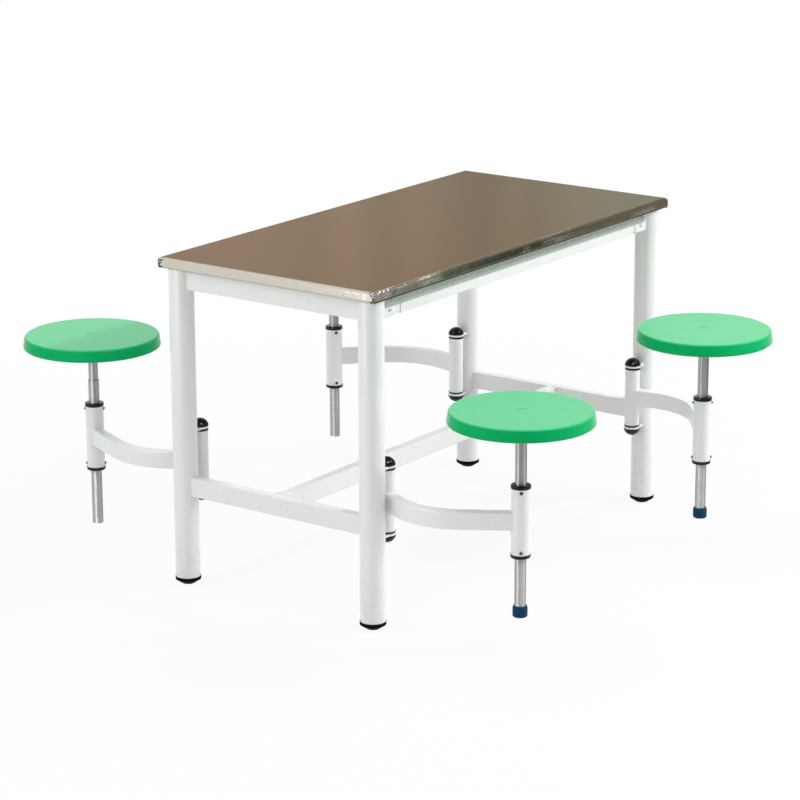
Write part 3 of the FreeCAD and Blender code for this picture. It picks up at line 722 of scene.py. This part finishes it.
shape = bmesh.new()
for seat in seat_names:
    leg = middle(seat + "_leg")
    along_y = -quarter_turn if leg.y > 0 else quarter_turn
    along_x = half_turn_if(leg.x > 0)
    for heading in (along_x, along_y):
        spot = Vector((leg.x, leg.y, apron_height))
        lay_bead(shape, on_wall(apron_outline, spot, heading, leg_radius), False)
    spot = Vector((leg.x, leg.y, stretcher_height))
    lay_bead(shape, on_wall(stretcher_outline, spot, along_y, leg_radius), True)
    for height in (ear_low, ear_high):
        spot = Vector((leg.x, leg.y, height))
        lay_bead(shape, on_wall(ear_outline, spot, along_x, leg_radius), True)
low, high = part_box("centre_stretcher")
for end in (low.x, high.x):
    spot = Vector((end, 0, stretcher_height))
    lay_bead(shape, on_wall(stretcher_outline, spot, half_turn_if(end < 0)), True)
finish_piece(shape, "frame_welds", "table", white_coat)

# %% [markdown]
# ### Welds of the arms
#
# Each arm meets two upright tubes at an angle of its own. The heading is measured on the frame: the
# corners of the arm's end lie on the round tube, so their mean points straight out from its axis.

# %% Arm welds
pivot_radius = 0.018
sleeve_radius = 0.021
end_reach = 0.0015
arm_outline = section_outline(tube_width, arm_depth)


def end_heading(arm, axis_spot, radius):
    """The heading in which the arm leaves a round tube."""
    corners = [corner.co for corner in frame["nodes"][arm].data.vertices]
    near = [c - axis_spot for c in corners if (c - axis_spot).xy.length < radius + end_reach]
    return math.atan2(sum(c.y for c in near), sum(c.x for c in near))


for seat in seat_names:
    shape = bmesh.new()
    for tube, radius in ((seat + "_pivot_tube", pivot_radius), (seat + "_seat_sleeve", sleeve_radius)):
        spot = middle(tube)
        heading = end_heading(seat + "_arm_tube", spot, radius)
        spot.z = middle(seat + "_arm_tube").z
        lay_bead(shape, on_wall(arm_outline, spot, heading, radius), True)
    finish_piece(shape, seat + "_arm_welds", seat + "_arm", white_coat)

# %% [markdown]
# ## Folded corners
#
# Where the skin is folded at a corner, a slit runs up the end face, and the shade inside it shows as a
# thin slanting line. A dark bead laid in the slit is painted shade for it. The line starts at the foot
# of the corner and follows the rounded profile of the edge: the square root gives how far each roll
# falls back at a height.
# Between the line and the corner lies the tab of the long side, hammered round; dark and bright spots
# are painted on it as painted reflections of its crumpled metal. It starts as a flat grid, is laid on
# the profile point by point, and gets its gauge from solidify. Its faces are
# first turned to look inwards, because solidify adds the gauge on the other side.

# %% Dark bead of painted shade in the slits
edge_depth = 0.0255
lower_roll = 0.006
upper_roll = 0.009
seam_rise = 0.023
seam_run = 0.014
seam_radius = 0.0017
seam_sunk = 0.0015
seam_steps = 16


def roll_back(height):
    """How far the end face lies behind its foremost line at a height above the edge's foot."""
    into_lower = max(lower_roll - height, 0.0)
    into_upper = max(height - (edge_depth - upper_roll), 0.0)
    lower = lower_roll - math.sqrt(lower_roll ** 2 - into_lower ** 2)
    return lower + upper_roll - math.sqrt(upper_roll ** 2 - into_upper ** 2)


# Painted shade: the dark bead stands for the shade inside the open slit at each corner.
slit_shade_paint = moulded("painted_slit_shade", (0.012, 0.011, 0.010), (0.03, 0.028, 0.025), roughness=0.5,
                  grain_scale=600.0, grain_depth=0.0003, specular_level=0.2)
low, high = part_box("top_skin")
shape = bmesh.new()
for side_x in (-1, 1):
    for side_y in (-1, 1):
        line = []
        for step in range(1, seam_steps + 1):
            rise = seam_rise * step / seam_steps
            across = high.y - seam_run * step / seam_steps
            out = high.x - roll_back(rise) - seam_sunk
            line.append(Vector((side_x * out, side_y * across, low.z + rise)))
        lay_bead(shape, line, False, seam_radius)
finish_piece(shape, "corner_seams", "table", slit_shade_paint)

# %% Hammered tabs
tab_gauge = 0.0006
tab_proud = 0.0002
tab_foot = 0.0003
# Painted reflection: the dark and bright spots of the hammered tab.
tab_painted_dark = (0.035, 0.034, 0.030)
tab_painted_bright = (0.44, 0.44, 0.41)

# Painted reflections: dark and bright spots on the tab stand for what its crumpled metal mirrors.
spotted_tab_steel, tree, shader = start_finish("painted_reflection_tab_steel", edge_steel, 1.0, 0.24)
painted_spots = spread(tree, specks(tree, 260.0, detail=1.0), 0.0, 1.0, 0.42, 0.58)
tree.links.new(blend_colours(tree, painted_spots, tab_painted_dark, tab_painted_bright), shader.inputs["Base Color"])
raise_surface(tree, shader, specks(tree, 240.0, detail=1.0), 0.003, 0.6)

shape = bmesh.new()
for side_x in (-1, 1):
    for side_y in (-1, 1):
        tab = bmesh.ops.create_grid(shape, x_segments=6, y_segments=14, size=0.5)["verts"]
        for corner in tab:
            share = corner.co.y + 0.5
            rise = tab_foot + (seam_rise - tab_foot) * share
            seam = seam_run * share
            foot = min(roll_back(rise), seam)
            across = high.y - foot - (seam - foot) * (corner.co.x + 0.5)
            out = high.x - roll_back(rise) + tab_proud
            corner.co = (side_x * out, side_y * across, low.z + rise)
shape.normal_update()
for face in shape.faces:
    if face.normal.x * face.calc_center_median().x > 0:
        face.normal_flip()
bmesh.ops.solidify(shape, geom=shape.faces[:], thickness=tab_gauge)
finish_piece(shape, "corner_tabs", "table", spotted_tab_steel)

# %% [markdown]
# ## Screws
#
# A screw head is a low dome with a recess. The dome is a single point, spun about the dome's centre
# into an arc and then spun round the screw's axis. A bridge joins the crown to the outline of the
# recess, and insets with a depth sink the recess and push out the shank.

# %% One screw
def hexagon(shape, reach, height):
    """A six-sided face for a socket, its sides divided to meet a round crown."""
    place = Matrix.Translation((0, 0, height))
    corners = bmesh.ops.create_circle(shape, cap_ends=True, radius=reach, segments=6, matrix=place)["verts"]
    return corners, 3


def cross(shape, reach, height):
    """A cross-shaped face: nine squares without the four at the corners."""
    place = Matrix.Translation((0, 0, height))
    corners = bmesh.ops.create_grid(shape, x_segments=3, y_segments=3, size=reach, matrix=place)["verts"]
    squares = list(dict.fromkeys(face for corner in corners for face in corner.link_faces))
    outer = [face for face in squares
             if min(abs(offset) for offset in face.calc_center_median().xy) > reach / 3]
    bmesh.ops.delete(shape, geom=outer, context="FACES")
    rest = [face for face in squares if face.is_valid]
    face = bmesh.ops.dissolve_faces(shape, faces=rest)["region"][0]
    return list(face.verts), 1


def make_screw(head_radius, head_height, shank_radius, shank_length, recess, recess_reach, recess_depth):
    """A screw whose head stands on z = 0, as a mesh."""
    shape = bmesh.new()
    dome = (head_radius ** 2 + head_height ** 2) / (2 * head_height)
    crown_radius = recess_reach * 1.25
    lean = math.asin(head_radius / dome) - math.asin(crown_radius / dome)
    rim = shape.verts.new((head_radius, 0, 0))
    bmesh.ops.spin(shape, geom=[rim], cent=(0, 0, head_height - dome), axis=(0, -1, 0), angle=lean, steps=5)
    arc = shape.verts[:] + shape.edges[:]
    bmesh.ops.spin(shape, geom=arc, cent=(0, 0, 0), axis=(0, 0, 1), angle=math.tau, steps=24, use_merge=True)
    crown = max(corner.co.z for corner in shape.verts)
    crown_edges = [edge for edge in shape.edges if min(corner.co.z for corner in edge.verts) > crown - 1e-7]
    rim_edges = [edge for edge in shape.edges if max(corner.co.z for corner in edge.verts) < 1e-7]
    bmesh.ops.contextual_create(shape, geom=rim_edges)
    corners, cuts = recess(shape, recess_reach, crown)
    face = next(face for face in corners[0].link_faces)
    bmesh.ops.subdivide_edges(shape, edges=face.edges[:], cuts=cuts)
    bmesh.ops.bridge_loops(shape, edges=crown_edges + face.edges[:])
    bmesh.ops.recalc_face_normals(shape, faces=shape.faces)
    bmesh.ops.inset_individual(shape, faces=[face], thickness=recess_reach * 0.08, depth=-recess_depth)
    under = min(shape.faces, key=lambda side: side.calc_center_median().z)
    bmesh.ops.inset_individual(shape, faces=[under], thickness=head_radius - shank_radius, depth=0.0)
    bmesh.ops.inset_individual(shape, faces=[under], thickness=0.0, depth=shank_length)
    mesh = bpy.data.meshes.new("screw")
    shape.to_mesh(mesh)
    shape.free()
    return mesh


head = 0.003
socket_screw = make_screw(head_radius=0.004, head_height=head, shank_radius=0.0025, shank_length=0.003,
                          recess=hexagon, recess_reach=0.0016, recess_depth=0.0012)
pan_screw = make_screw(head_radius=0.005, head_height=head, shank_radius=0.002, shank_length=0.010,
                       recess=cross, recess_reach=0.0024, recess_depth=0.0014)
seat_screw = make_screw(head_radius=0.0045, head_height=head, shank_radius=0.002, shank_length=0.010,
                        recess=cross, recess_reach=0.0022, recess_depth=0.0012)
print("screws", [len(mesh.polygons) for mesh in (socket_screw, pan_screw, seat_screw)], "faces")

# %% Places of the screws, read from the frame
def loose_solids(node):
    """The separate solids of a node, each as a list of its corners."""
    shape = bmesh.new()
    shape.from_mesh(frame["nodes"][node].data)
    bmesh.ops.remove_doubles(shape, verts=shape.verts, dist=1e-6)
    seen = set()
    solids = []
    for corner in shape.verts:
        if corner.index in seen:
            continue
        seen.add(corner.index)
        solid, waiting = [], [corner]
        while waiting:
            here = waiting.pop()
            solid.append(here.co.copy())
            for edge in here.link_edges:
                other = edge.other_vert(here)
                if other.index not in seen:
                    seen.add(other.index)
                    waiting.append(other)
        solids.append(solid)
    shape.free()
    return solids


def fit_screws(node, body, screw, outward_from, material):
    """Stands a detailed screw in the place of each plain one of a node."""
    shape = bmesh.new()
    for turn, solid in enumerate(loose_solids(node)):
        centre = sum(solid, Vector()) / len(solid)
        outward = outward_from(centre)
        tip = max(corner.dot(outward) for corner in solid)
        spot = centre + outward * (tip - head - centre.dot(outward))
        facing = outward.to_track_quat("Z", "Y").to_matrix().to_4x4()
        first = len(shape.verts)
        shape.from_mesh(screw)
        shape.verts.ensure_lookup_table()
        place = Matrix.Translation(spot) @ facing @ Matrix.Rotation(0.7 * turn, 4, "Z")
        bmesh.ops.transform(shape, matrix=place, verts=shape.verts[first:])
    piece = finish_piece(shape, node + "_fitted", body, material, smooth=False)
    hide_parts(node)


def away_from(axis_spot):
    """A function that gives the level direction from an upright axis to a point."""
    return lambda point: (point - axis_spot).xy.to_3d().normalized()


def to_the_long_side(point):
    """Level, and away from the middle of the table across its width."""
    return Vector((0, math.copysign(1, point.y), 0))


def down(point):
    """Straight down, wherever the point is."""
    return Vector((0, 0, -1))


fit_screws("frame_screws", "table", pan_screw, to_the_long_side, zinc_steel)
for seat in seat_names:
    round_the_sleeve = away_from(middle(seat + "_seat_sleeve"))
    fit_screws(seat + "_sleeve_screws", seat + "_arm", socket_screw, round_the_sleeve,
               black_steel)
    fit_screws(seat + "_seat_screws", seat + "_seat", seat_screw, down, zinc_steel)
